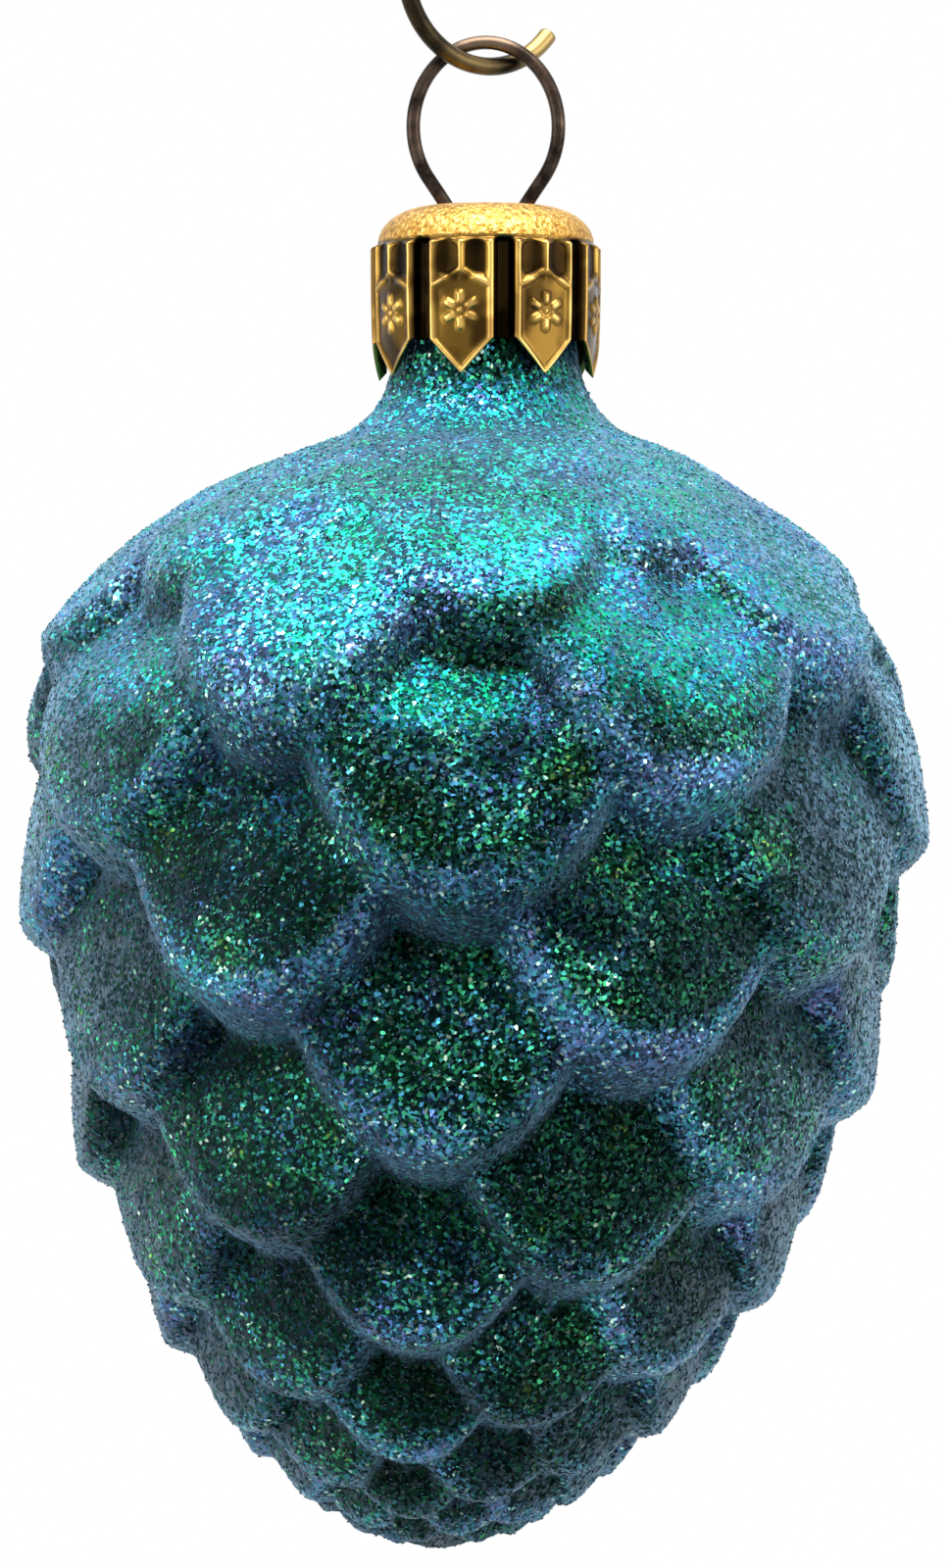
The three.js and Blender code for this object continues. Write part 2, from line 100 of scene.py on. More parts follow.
# Crown cap
CAP_RADIUS = 6.45 * MM
CAP_HEIGHT = 9.95 * MM
CAP_SHEET = 0.35 * MM
CAP_FLAT_RADIUS = 3 * MM                    # inside it the dome is flat
CAP_SHOULDER_RADIUS = 6.2 * MM
CAP_SHOULDER_DROP = 2.15 * MM               # where the dome's round edge ends, below the top
PETALS = 8
PETAL_TURN = -13                            # degrees to the right of the front, of a petal's middle
PETAL_TIP_RISE = 2.05 * MM                  # of a petal's sides over its point
PETAL_TIP_TUCK = 0.3 * MM                   # of a petal's point towards the neck
PETAL_SHARE = 0.75                          # of half the pitch of the petals, where the fold starts
FOLD_DEPTH = 0.62 * MM
FOLD_START = 0.3 * MM                       # below the dome the folds have their full depth
FOLD_SHARE = 0.88                           # of half the pitch, where the fold has its full depth

# Hanger and hook, to the wire's centre line
HANGER_WIRE = 0.4 * MM
LOOP_HALF_WIDTH = 4.17 * MM
LOOP_WIDEST = 4.6 * MM                      # above the cap's top
LOOP_RISE = 4.84 * MM                       # from there to the top of the loop
LEG_SPACING = 2.2 * MM                      # from the middle, at the cap's top
LEG_PINCH = 0.6 * MM                        # the legs come this much nearer to the middle below the cap
LEG_PINCH_DEPTH = 1.4 * MM
LEG_LENGTH = 13 * MM                        # below the cap's top
LEG_WALL_GAP = 0.35 * MM                    # to the glass of the neck
LEG_HOLE_GAP = 0.4 * MM                     # around the wire in the cap's holes
HOOK_WIRE = 0.525 * MM
HOOK_LOWER = 5.4 * MM                       # radius of the lower bend
HOOK_UPPER = 4.6 * MM                       # radius of the upper bend
HOOK_SPACING = 12 * MM                      # between the centres of the two bends
HOOK_LOWER_TIP = 53                         # degrees past the bottom, where the lower bend ends
HOOK_UPPER_TIP = 110                        # degrees past the top, where the upper bend ends
HOOK_TURN = 32                              # degrees that the hook is turned out of the front plane

# Photograph: 967 x 1600 pixels, level with the ornament
PIXEL = 0.0563 * MM                         # on the ornament
PHOTO_HEIGHT = 1600
CAMERA_DISTANCE = 400 * MM
CAMERA_ASIDE = -0.68 * MM
CAMERA_HEIGHT = -62.7 * MM
SENSOR = 36

# Softboxes: name, place and width in metres, and power in watts
SOFTBOXES = [("top softbox", (0.02, -0.1, 0.3), 0.4, 4),
             ("left softbox", (-0.45, -0.2, 0.02), 0.35, 1),
             ("right softbox", (0.45, -0.2, 0.02), 0.35, 1)]
ROOM_LIGHT = 0.4                            # strength of the even light from all around
FLOOR_DROP = 900 * MM                       # the floor lies this far below the tip
FLOOR_SIZE = 6000 * MM

# Glitter: the flakes of a fine glitter are about 0.2 mm wide
FLAKE = 0.2 * MM
FLAKE_TILT = 0.9
GRAIN = 0.035 * MM                          # unevenness of the coat of flakes
CLOUD = 4 * MM                              # size of the patches where one shade prevails
CLOUD_DRIFT = 0.45
CLOUD_LOW, CLOUD_HIGH = 0.3, 0.7            # of their noise, where the drift starts and where it is full
PATCH = 6 * MM                              # size of the patches that are darker or brighter
PATCH_LOW, PATCH_HIGH = 0.35, 0.6           # of their noise, where a patch is darkest and brightest
PATCH_DARKEST = -0.12
PATCH_BRIGHTEST = 0.2
PAINTED_HOLLOW_SHADE = 0.34                     # painted shade: flakes deep between the scales are darker
LIP_SHEEN_DRIFT = 0.12                            # painted sheen: flakes near a lip show the bluer shades more often
STIPPLE = 0.6                               # tones meet flake by flake over this share of their border
FLAKE_ROUGHNESS = 0.3
# Flakes that stand on edge scatter a pale blue haze towards the outline
SHEEN_BLEND = 0.6
SHEEN_AT_EDGES = 1.1
SHEEN_IN_FRONT = 0.03
SHEEN_COLOUR = "#8cbce0"
# Tones run from the darkest flakes to those that flash; the brightest tones and the palest shade of each
# ramp are painted glints. Shades are the colours that the film shows.
FACE_TONES = [(0, "#121212"), (0.4, "#343434"), (0.7, "#565656"), (0.86, "#989898"), (0.95, "#e8e8e8"),
              (1, "#ffffff")]
FACE_SHADES = [(0, "#6ca04c"), (0.13, "#349660"), (0.38, "#40ac80"), (0.52, "#ccf4d8"), (0.55, "#40a49c"),
               (0.71, "#4690b6"), (0.87, "#5e7ac4")]
# Painted light from above: flakes on upper sides take brighter tones and turquoise shades
TOP_LIT_TONES = [(0, "#404040"), (0.3, "#7c7c7c"), (0.7, "#bcbcbc"), (1, "#ffffff")]
TOP_LIT_SHADES = [(0, "#10b07c"), (0.24, "#1cb8a8"), (0.42, "#28bcd8"), (0.58, "#a8fff4"), (0.62, "#4ca4f0"),
                (0.8, "#8488ec")]
# Painted sheen on the lips: paler tones and bluer shades
LIP_SHEEN_TONES = [(0, "#444444"), (0.3, "#7c7c7c"), (0.8, "#d0d0d0"), (1, "#ffffff")]
LIP_SHEEN_SHADES = [(0, "#34a494"), (0.26, "#44a0b8"), (0.5, "#c8fff4"), (0.54, "#6494cc"), (0.86, "#9498dc")]

# Cap: tones from the bottom of the stamped hollows up to the tops of the ridges, a painted shade at the
# bottom and a painted highlight at the top
PETAL_SHADE_AND_HIGHLIGHT_TONES = [(0, "#22180a"), (0.3, "#36260c"), (0.5, "#6c5222"), (0.75, "#a8823c"), (1, "#e4bc6c")]
DULL_PETAL_SHADE_AND_HIGHLIGHT_TONES = [(0, "#0e0803"), (0.3, "#1e1408"), (0.5, "#3c2b12"), (0.75, "#644a20"), (1, "#b8924e")]
DOME_TONES = [(0.3, "#966628"), (0.5, "#c69848"), (0.7, "#e6be70")]
DULLING = 2.6 * MM                          # size of the dull patches on the petals
DULL_START, DULL_FULL = 0.42, 0.58          # of their noise, where the dullness starts and is full
PIT = 0.32 * MM                             # grain of the dome's satin
PIT_DEPTH = 0.25 * MM
PIT_STRENGTH = 0.8
PETAL_ROUGHNESS = 0.22
DOME_ADDED_ROUGHNESS = 0.2

# Wires, from the dark skin to the rubbed metal
HANGER_TONES = [(0.4, "#1e1814"), (0.6, "#443830"), (1, "#6c5a4a")]
HOOK_TONES = [(0.4, "#241e16"), (0.62, "#4c402a"), (1, "#968050")]
WIRE_ROUGHNESS = 0.34
HANGER_WEAR = 1.2 * MM                      # size of the worn patches
HOOK_WEAR = 2.5 * MM
HANGER_RUB = 2 * MM                         # reach of the rubbed place
HOOK_RUB = 4 * MM


def linear(hex_colour):
    """sRGB hex to linear RGBA."""
    channels = [int(hex_colour[i:i + 2], 16) / 255 for i in (1, 3, 5)]
    return [c / 12.92 if c <= 0.04045 else ((c + 0.055) / 1.055) ** 2.4 for c in channels] + [1]


def smoothstep(x):
    """From 0 to 1 without a corner at either end."""
    x = np.clip(x, 0, 1)
    return x * x * (3 - 2 * x)


# Meshes

def read(points, what):
    """The places or the normals of a mesh's points, a row for each."""
    values = np.empty(len(points) * 3)
    points.foreach_get(what, values)
    return values.reshape(-1, 3)


def mark(piece, name, values):
    """Gives each point of a piece a value that a material can read."""
    layer = piece.data.attributes.new(name, "FLOAT", "POINT")
    layer.data.foreach_set("value", values)


def put_in_order(mesh, points, order):
    """Numbers a mesh's points by a given order and its faces by their points, so that each run gives the
    same mesh: a UV sphere's points and faces don't come in the same order each time."""
    number = np.argsort(order).tolist()
    faces = [[number[i] for i in face.vertices] for face in mesh.polygons]
    firsts = [face.index(min(face)) for face in faces]
    faces = sorted(face[first:] + face[:first] for face, first in zip(faces, firsts))
    mesh.clear_geometry()
    mesh.from_pydata(points[order], [], faces)


def shaped_sphere(name, segments, rings, shape):
    """A UV sphere whose points are moved by shape(azimuth in degrees, row from the south pole)."""
    bpy.ops.object.select_all(action="DESELECT")
    bpy.ops.mesh.primitive_uv_sphere_add(segments=segments, ring_count=rings)
    piece = bpy.context.object
    piece.name = name
    points = read(piece.data.vertices, "co")
    row = np.round((1 - np.arccos(np.clip(points[:, 2], -1, 1)) / math.pi) * rings)
    azimuth = np.degrees(np.arctan2(points[:, 1], points[:, 0])) + 90
    azimuth = np.where((row == 0) | (row == rings), 0, azimuth)
    quarter_column = 90 / segments
    order = np.lexsort(((azimuth + quarter_column) % 360, row))
    put_in_order(piece.data, points, order)
    shaped, marks = shape(azimuth[order], row[order])
    piece.data.vertices.foreach_set("co", shaped.ravel())
    for mark_name, values in marks.items():
        mark(piece, mark_name, values)
    bpy.ops.object.shade_smooth()
    piece.data.update()
    return piece


def around(radius, azimuth, height, lean=0.0):
    """Points around the upright axis, from the front to the right, leaning aside."""
    angle = np.radians(azimuth)
    return np.stack([lean + radius * np.sin(angle), -radius * np.cos(angle), height + 0 * radius], -1)


# Glass cone

def envelope(height):
    """Radius over the tops of the scales."""
    low = BODY_RADIUS * (1 - (1 - np.clip(height, 0, WIDEST) / WIDEST) ** 2) ** TIP_SHARPNESS
    climb = np.clip((height - WIDEST) / SHOULDER_RISE, 0, 1)
    shoulder = BODY_RADIUS * np.sqrt(1 - climb ** SHOULDER_FULLNESS)
    flare = np.exp(-np.clip(height - NECK_FLARE_HEIGHT, 0, None) / NECK_FLARE_LENGTH)
    neck = NECK_RADIUS + NECK_FLARE * flare
    return np.where(height < WIDEST, low, np.maximum(shoulder, neck))


def relief_share(height):
    """1 where the scales stand out in full, and 0 on the smooth neck."""
    return 1 - smoothstep((height - FADE_START) / (FADE_END - FADE_START))


OUTLINE_POINTS = 2001
OUTLINE_CROWDING = 1.6                      # higher puts more of the points near the round tip
NEXT_TO_NOTHING = 1e-12                     # leaves a sum to divide by where no scale lifts the glass


class Outline:
    """The smooth body that the scales stand on, measured along its outline from the tip."""

    def __init__(self):
        self.height = GLASS_LENGTH * np.linspace(0, 1, OUTLINE_POINTS) ** OUTLINE_CROWDING
        room_for_scales = SCALE_LIFT * SCALE_PITCH_SHARE * relief_share(self.height)
        self.radius = envelope(self.height) * (1 - room_for_scales)
        steps = np.hypot(np.diff(self.radius), np.diff(self.height))
        self.along = np.concatenate([[0], np.cumsum(steps)])
        self.length = self.along[-1]
        slope = np.hypot(np.gradient(self.radius), np.gradient(self.height))
        self.out = np.gradient(self.height) / slope
        self.up = -np.gradient(self.radius) / slope
        self.scales = self.place_scales()

    def at(self, along):
        """Radius, height, and the outward and upward share of the normal."""
        lines = (self.radius, self.height, self.out, self.up)
        return [np.interp(along, self.along, line) for line in lines]

    def pitch(self, along):
        """Height of one scale over the next, which shrinks with the body."""
        return float(SCALE_PITCH_SHARE * envelope(np.interp(along, self.along, self.height)))

    def place_scales(self):
        """Angle, place along the outline and pitch of each scale, down and then up from the front one."""
        found = []
        front = np.interp(SCALE_FRONT_HEIGHT, self.height, self.along)
        along, number = front, 0
        while np.interp(along, self.along, self.radius) > SCALE_LEAST_RADIUS and along > 0:
            found.append((SCALE_FRONT_ANGLE + number * SCALE_TURN, along, self.pitch(along)))
            along -= self.pitch(along) / SCALES_PER_PITCH
            number += 1
        along, number = front, -1
        while np.interp(along, self.along, self.height) < FADE_END:
            along += self.pitch(along) / SCALES_PER_PITCH
            found.append((SCALE_FRONT_ANGLE + number * SCALE_TURN, along, self.pitch(along)))
            number -= 1
        return found

    def relief(self, azimuth, along):
        """Lift of the scales, and how much painted sheen each point takes, from 0 on a face to at most 1 on
        a lip.
        """
        chance = np.random.default_rng(LIP_SEED)
        total = np.zeros(len(along))
        weights = np.full(len(along), NEXT_TO_NOTHING)
        pale = np.zeros(len(along))
        for angle, place, pitch in self.scales:
            across = ((azimuth - angle + 180) % 360 - 180) / SCALE_HALF_ANGLE
            above = (along - place) / pitch - SCALE_RISE * np.abs(across) ** SCALE_SQUARENESS
            height = np.interp(place, self.along, self.height)
            climb = np.clip((height - WIDEST) / (FADE_END - WIDEST), 0, 1)
            softness = SCALE_SOFTNESS * (1 + SHOULDER_SOFTENING * climb)
            lip = smoothstep((above + softness) / (2 * softness))
            slope = np.clip(1 - SCALE_TILT * np.clip(above, 0, None) ** SCALE_BULGE, 0, None)
            crown = np.clip(1 - SCALE_CROWN * across ** 2, 0, None)
            lift = SCALE_LIFT * pitch * lip * slope * crown
            total += lift ** SCALE_BLEND
            steep = np.hypot(1, LIP_SIDE_SLOPE * np.abs(across) ** (SCALE_SQUARENESS - 1))
            inward = np.clip(above - softness, 0, None) * pitch / steep
            weight = (lift / MM) ** LIP_CRISPNESS
            # painted sheen along each lip, stronger on some lips than on others
            pale += weight * chance.uniform(LIP_LEAST, LIP_MOST) * np.exp(-(inward / LIP_REACH) ** 2)
            weights += weight
        return total ** (1 / SCALE_BLEND), pale / weights


OUTER_ROWS = 205
INNER_ROWS = 22
GLASS_COLUMNS = 390
GRAIN_SEED = 5
LEAST_RADIUS = 0.8 * MM                     # at the very tip a scale's full height would be nothing
INNER_RELIEF = 0.5                          # the blown glass follows the mould less on its inner side
TOP_LIGHT_START = 0.12                           # upward share of the normal where the painted light from above sets in
TOP_LIGHT_END = 0.7


def make_glass():
    """The blown glass: up its outer side from the tip to the neck's rim, and back down its inner side."""
    outline = Outline()
    chance = np.random.default_rng(GRAIN_SEED)
    rows = OUTER_ROWS + INNER_ROWS

    def shape(azimuth, row):
        inside = row > OUTER_ROWS
        share = np.where(inside, (rows - row) / INNER_ROWS, row / OUTER_ROWS)
        along = outline.length * share
        radius, height, out, up = outline.at(along)
        fade = relief_share(height)
        lift, pale = outline.relief(azimuth, along)
        full = SCALE_LIFT * SCALE_PITCH_SHARE * np.maximum(envelope(height), LEAST_RADIUS)
        # painted shade: the less a scale lifts a point, the darker its flakes are painted
        hollow_shade = (1 - np.clip(lift / full, 0, 1)) * fade
        uneven = GRAIN * chance.standard_normal(len(azimuth))
        lift = np.where(inside, INNER_RELIEF * lift * fade - GLASS_WALL, lift * fade + uneven)
        radius = np.where(share == 0, 0, np.maximum(radius + lift * out, 0))
        level = height + lift * up
        lean = -BODY_OFFSET * smoothstep((NECK_FLARE_HEIGHT - height) / BODY_OFFSET_HEIGHT)
        lean = lean - TIP_LEAN * np.clip(1 - height / WIDEST, 0, None) ** 2
        # the lip mark is a painted sheen, and the hollow mark a painted shade
        marks = {"lip": pale * fade * ~inside, "hollow_shade": hollow_shade}
        return around(radius, azimuth, TIP_HEIGHT + level, lean), marks

    glass = shaped_sphere("glittered_glass", GLASS_COLUMNS, rows, shape)
    upright = read(glass.data.vertices, "normal")[:, 2]
    # painted light from above: upward-facing glass takes the bright turquoise tones
    mark(glass, "rise", np.clip((upright - TOP_LIGHT_START) / (TOP_LIGHT_END - TOP_LIGHT_START), 0, 1))
    return glass


FLAKES_EACH = 24000
UPPER_FLAKES_SEED = 21
LOWER_FLAKES_SEED = 22
FLAKE_SIDES = 4
FLAKE_STAND = 0.03 * MM                     # a flake's middle lies this far above the glass
FLAKE_THICKNESS = 0.03 * MM
FLAKE_LEAN = 0.45                           # spread of the loose flakes' tilts
FLAKE_LEAST = 0.8                           # widths of the loose flakes, over the usual one
FLAKE_MOST = 1.3


def scatter(mesh, low, high, chance):
    """Points drawn evenly over the outer glass between two heights: a near mesh point, place and normal."""
    mesh.calc_loop_triangles()
    corners = np.empty(len(mesh.loop_triangles) * 3, dtype=np.int32)
    mesh.loop_triangles.foreach_get("vertices", corners)
    corners = corners.reshape(-1, 3)
    points, normals = read(mesh.vertices, "co"), read(mesh.vertices, "normal")
    a, b, c = (points[corners[:, i]] for i in range(3))
    area = np.linalg.norm(np.cross(b - a, c - a), axis=1)
    middle = (a + b + c) / 3
    facing = np.sum(normals[corners[:, 0]] * (middle - (0, 0, TIP_HEIGHT + WIDEST)), axis=1)
    area = area * (facing > 0) * (middle[:, 2] > low) * (middle[:, 2] < high)
    chosen = corners[chance.choice(len(corners), FLAKES_EACH, p=area / area.sum())]
    share = np.sort(chance.random((FLAKES_EACH, 2)), axis=1)
    weights = np.stack([share[:, 0], share[:, 1] - share[:, 0], 1 - share[:, 1]], -1)[:, :, None]
    place = np.sum(points[chosen] * weights, axis=1)
    normal = np.sum(normals[chosen] * weights, axis=1)
    return chosen[:, 0], place, normal


def plate_points(place, normal, chance):
    """Corners of a small square plate at each place, tilted, turned and sized by chance."""
    place = place + FLAKE_STAND * normal
    axis = normal + FLAKE_LEAN * chance.standard_normal(normal.shape)
    axis = axis / np.linalg.norm(axis, axis=1)[:, None]
    first = np.cross(axis, chance.standard_normal(axis.shape))
    first = first / np.linalg.norm(first, axis=1)[:, None]
    second = np.cross(axis, first)
    reach = FLAKE / 2 * chance.uniform(FLAKE_LEAST, FLAKE_MOST, (FLAKES_EACH, 1))
    ring = [place + reach * (math.cos(turn) * first + math.sin(turn) * second)
            for turn in np.linspace(0, 2 * math.pi, FLAKE_SIDES, endpoint=False)]
    tops = [place + FLAKE_THICKNESS / 2 * axis, place - FLAKE_THICKNESS / 2 * axis]
    return np.stack(ring + tops, 1)


def plate_mesh(name, plates):
    """One mesh of all the plates, each closed above and below by a fan of triangles."""
    top, bottom = FLAKE_SIDES, FLAKE_SIDES + 1
    faces = [(side, (side + 1) % FLAKE_SIDES, top) for side in range(FLAKE_SIDES)]
    faces += [((side + 1) % FLAKE_SIDES, side, bottom) for side in range(FLAKE_SIDES)]
    count, per_plate = plates.shape[:2]
    loops = (np.arange(count)[:, None, None] * per_plate + np.array(faces)).reshape(-1)
    mesh = bpy.data.meshes.new(name)
    mesh.vertices.add(count * per_plate)
    mesh.vertices.foreach_set("co", plates.ravel())
    mesh.loops.add(len(loops))
    mesh.loops.foreach_set("vertex_index", loops)
    mesh.polygons.add(len(loops) // 3)
    mesh.polygons.foreach_set("loop_start", np.arange(0, len(loops), 3))
    mesh.update(calc_edges=True)
    return mesh


def make_flakes(name, glass, low, high, seed):
    """Loose flakes that stand out of the coat between two heights. They take the marks of the glass below
    them, and each has a chance of its own."""
    chance = np.random.default_rng(seed)
    below, place, normal = scatter(glass.data, low, high, chance)
    plates = plate_points(place, normal, chance)
    per_plate = plates.shape[1]
    piece = bpy.data.objects.new(name, plate_mesh(name, plates))
    bpy.context.scene.collection.objects.link(piece)
    # these marks carry the painted light from above, the painted sheen on the lips and the painted shade in
    # the hollows
    for mark_name in ("rise", "lip", "hollow_shade"):
        values = np.empty(len(glass.data.vertices))
        glass.data.attributes[mark_name].data.foreach_get("value", values)
        mark(piece, mark_name, np.repeat(values[below], per_plate))
    own = piece.data.attributes.new("chance", "FLOAT_VECTOR", "POINT")
    draws = np.repeat(chance.random((FLAKES_EACH, 3)), per_plate, axis=0)
    own.data.foreach_set("vector", draws.ravel())
    return piece


# Crown cap

CAP_COLUMNS = 448
DOME_ROWS = 34
DOME_FLAT = 0.6                             # rows over the flat top, over those along its round edge
DOME_END = 2 * MM                           # where the satin ends and the polish begins, below the top
DOME_FADE = 0.2 * MM
SKIRT_ROWS = 84
CAP_INNER_ROWS = 24
HOLE_SIDES = 32


def segment(u, w, start, end):
    """Distance from points to a line between two points."""
    (u0, w0), (u1, w1) = start, end
    share = ((u - u0) * (u1 - u0) + (w - w0) * (w1 - w0)) / ((u1 - u0) ** 2 + (w1 - w0) ** 2)
    share = np.clip(share, 0, 1)
    return np.hypot(u - u0 - share * (u1 - u0), w - w0 - share * (w1 - w0))


RIM_ASIDE = 1.72 * MM
RIDGE_WIDTH = 0.18 * MM
RIDGE_LIFT = 0.17 * MM
FORK_DROP = 4.0 * MM                        # below the cap's top, where the middle ridge forks
FORK_END_DROP = 4.95 * MM
FLOWER_DROP = 6.35 * MM
FLOWER_RADIUS = 0.72 * MM
LOBE_LENGTH = 0.4 * MM
LOBE_WIDTH = 0.24 * MM
LOBES = 6
FLOWER_HEART = 0.2 * MM
FLOWER_HEIGHT = 0.9                         # over the ridges' height
POINT_INSET = 0.12 * MM                     # of the rim's ridge from the petal's point
PANEL_DEPTH = 0.16 * MM
PANEL_ARCH = 0.7 * MM                       # rise of the panels' round tops
PANEL_SLANT = 0.35                          # slope of the panels' lower edges, along the fork
PANEL_TOP_FADE = 0.3 * MM
PANEL_FOOT_FADE = 0.5 * MM


def embossing(aside, drop):
    """Height of a petal's stamped pattern at a distance aside from its middle and below the cap's top."""
    def ridge(start, end):
        return np.exp(-(segment(aside, drop, start, end) / RIDGE_WIDTH) ** 2)

    fork = (0, FORK_DROP)
    point = (0, CAP_HEIGHT - POINT_INSET)
    lines = ridge((0, CAP_SHOULDER_DROP), fork)
    for rim in (-RIM_ASIDE, RIM_ASIDE):
        corner = (rim, CAP_HEIGHT - PETAL_TIP_RISE)
        lines = np.maximum(lines, ridge(fork, (rim, FORK_END_DROP)))
        lines = np.maximum(lines, ridge((rim, CAP_SHOULDER_DROP), corner))
        lines = np.maximum(lines, ridge(corner, point))
    flower = np.exp(-(np.hypot(aside, drop - FLOWER_DROP) / FLOWER_HEART) ** 2)
    for lobe in range(LOBES):
        angle = 2 * math.pi * lobe / LOBES + math.pi / 2
        u = aside - FLOWER_RADIUS * math.cos(angle)
        w = drop - FLOWER_DROP + FLOWER_RADIUS * math.sin(angle)
        radial = u * math.cos(angle) - w * math.sin(angle)
        across = u * math.sin(angle) + w * math.cos(angle)
        flower = np.maximum(flower, np.exp(-(radial / LOBE_LENGTH) ** 4 - (across / LOBE_WIDTH) ** 4))
    side = np.abs(aside)
    arch = PANEL_ARCH * (2 * side / RIM_ASIDE - 1) ** 2
    panel = smoothstep((FORK_END_DROP - drop - PANEL_SLANT * side) / PANEL_FOOT_FADE)
    panel = panel * smoothstep((drop - CAP_SHOULDER_DROP - arch) / PANEL_TOP_FADE)
    panel = panel * np.sin(np.clip(side / RIM_ASIDE, 0, 1) * math.pi)
    return RIDGE_LIFT * np.maximum(lines, FLOWER_HEIGHT * flower) - PANEL_DEPTH * panel


def make_cap():
    """The stamped cap, domed on top and folded into petals below, with its two holes for the wire."""
    outer = DOME_ROWS + SKIRT_ROWS
    rows = outer + CAP_INNER_ROWS

    def shape(azimuth, row):
        row = rows - row
        inside = row > outer
        petal_turn = 360 / PETALS
        aside = (azimuth - PETAL_TURN + petal_turn / 2) % petal_turn - petal_turn / 2
        share = np.abs(aside) / (petal_turn / 2)
        fold = smoothstep((share - PETAL_SHARE) / (FOLD_SHARE - PETAL_SHARE))
        bottom = CAP_HEIGHT - PETAL_TIP_RISE * np.clip(share / PETAL_SHARE, 0, 1)
        place = np.where(inside, outer * (rows - row) / CAP_INNER_ROWS, row)
        dome = np.clip(place / DOME_ROWS, 0, 1)
        down = np.clip((place - DOME_ROWS) / SKIRT_ROWS, 0, 1)
        on_skirt = place > DOME_ROWS
        reach = dome * (1 + DOME_FLAT)
        bend = np.clip(reach - DOME_FLAT, 0, 1) * math.pi / 2
        dome_radius = np.where(reach < DOME_FLAT, CAP_FLAT_RADIUS * reach / DOME_FLAT,
                               CAP_FLAT_RADIUS + (CAP_SHOULDER_RADIUS - CAP_FLAT_RADIUS) * np.sin(bend))
        dome_drop = CAP_SHOULDER_DROP * (1 - np.cos(bend))
        drop = np.where(on_skirt, CAP_SHOULDER_DROP + (bottom - CAP_SHOULDER_DROP) * down, dome_drop)
        start = smoothstep((drop - CAP_SHOULDER_DROP) / FOLD_START)
        skirt_radius = (CAP_SHOULDER_RADIUS + (CAP_RADIUS - CAP_SHOULDER_RADIUS) * start
                        - FOLD_DEPTH * fold * start - PETAL_TIP_TUCK * down ** 3 * (1 - share))
        radius = np.where(on_skirt, skirt_radius, dome_radius)
        lift = embossing(np.radians(aside) * CAP_RADIUS, drop) * start * (1 - fold) * on_skirt
        lift = np.where(inside, 0, lift)
        radius = radius + lift - np.where(inside, CAP_SHEET, 0)
        level = CAP_HIGH.z - drop - np.where(inside, CAP_SHEET * (1 - dome), 0)
        radius = np.where((row == 0) | (row == rows), 0, np.maximum(radius, 0))
        # painted highlight and shade: the ridges' tops are bright, the hollows dark, and the folds painted
        # darkest
        relief = 0.5 + 0.5 * lift / RIDGE_LIFT
        marks = {"relief": np.clip(relief - fold, 0, 1),
                 "dome": 1 - smoothstep((drop - DOME_END) / DOME_FADE)}
        return around(radius, azimuth, level), marks

    cap = shaped_sphere("stamped_crown_cap", CAP_COLUMNS, rows, shape)
    for side in (-1, 1):
        bpy.ops.mesh.primitive_cylinder_add(
            vertices=HOLE_SIDES, radius=HANGER_WIRE + LEG_HOLE_GAP, depth=4 * CAP_SHEET,
            location=(side * (LEG_SPACING - LEG_SLOPE * CAP_SHEET / 2), 0, CAP_HIGH.z - CAP_SHEET / 2))
        drill = bpy.context.object
        cut = cap.modifiers.new("wire hole", "BOOLEAN")
        cut.operation = "DIFFERENCE"
        cut.solver = "EXACT"
        cut.object = drill
        bpy.context.view_layer.objects.active = cap
        bpy.ops.object.modifier_apply(modifier=cut.name)
        bpy.data.objects.remove(drill)
    return cap


# Wires

# The loop is an ellipse below as well, from its widest place to where a straight leg leaves it for the hole
LOOP_NARROWING = LOOP_HALF_WIDTH / LOOP_RISE
LEG_DROP = LOOP_NARROWING * LOOP_WIDEST
LEG_REACH = math.hypot(LEG_SPACING, LEG_DROP)
ROUND_END = math.atan2(LEG_DROP, LEG_SPACING) - math.acos(LOOP_HALF_WIDTH / LEG_REACH)
LEG_SLOPE = LOOP_NARROWING * math.tan(ROUND_END)
HANGER_TOP = CAP_HIGH.z + LOOP_WIDEST + LOOP_RISE
HOOK_UPPER_CENTRE = HOOK_WIRE - HOOK_UPPER
HOOK_LOWER_CENTRE = HOOK_UPPER_CENTRE - HOOK_SPACING
TIP_BEND = math.radians(HOOK_LOWER_TIP)
TIP_ASIDE = HOOK_LOWER * math.sin(TIP_BEND)
TURN = math.radians(HOOK_TURN)
HOOK_TIP = (TIP_ASIDE * math.cos(TURN), TIP_ASIDE * math.sin(TURN),
            HOOK_LOWER_CENTRE - HOOK_LOWER * math.cos(TIP_BEND))
END_ROUND = 0.35                            # of the cut ends, over the wire's radius
END_STEPS = 5
WIRE_STEPS = 320
WIRE_SMOOTHNESS = 6
HALF_LOOP_STEPS = 40
LOOP_FOOT_STEPS = 12
HOOK_STEPS = 70
HANGER_ROUNDING = 3                         # times that the corners of its line are cut
HOOK_ROUNDING = 1
PINCH_EASING = 0.3                          # share of the leg over which the bend below the pinch is eased


def rounded(points, times):
    """A line of points with its corners cut, over and over."""
    points = np.array(points)
    for _ in range(times):
        near = 0.75 * points[:-1] + 0.25 * points[1:]
        far = 0.25 * points[:-1] + 0.75 * points[1:]
        between = np.stack([near, far], 1).reshape(-1, 3)
        points = np.concatenate([points[:1], between, points[-1:]])
    return points


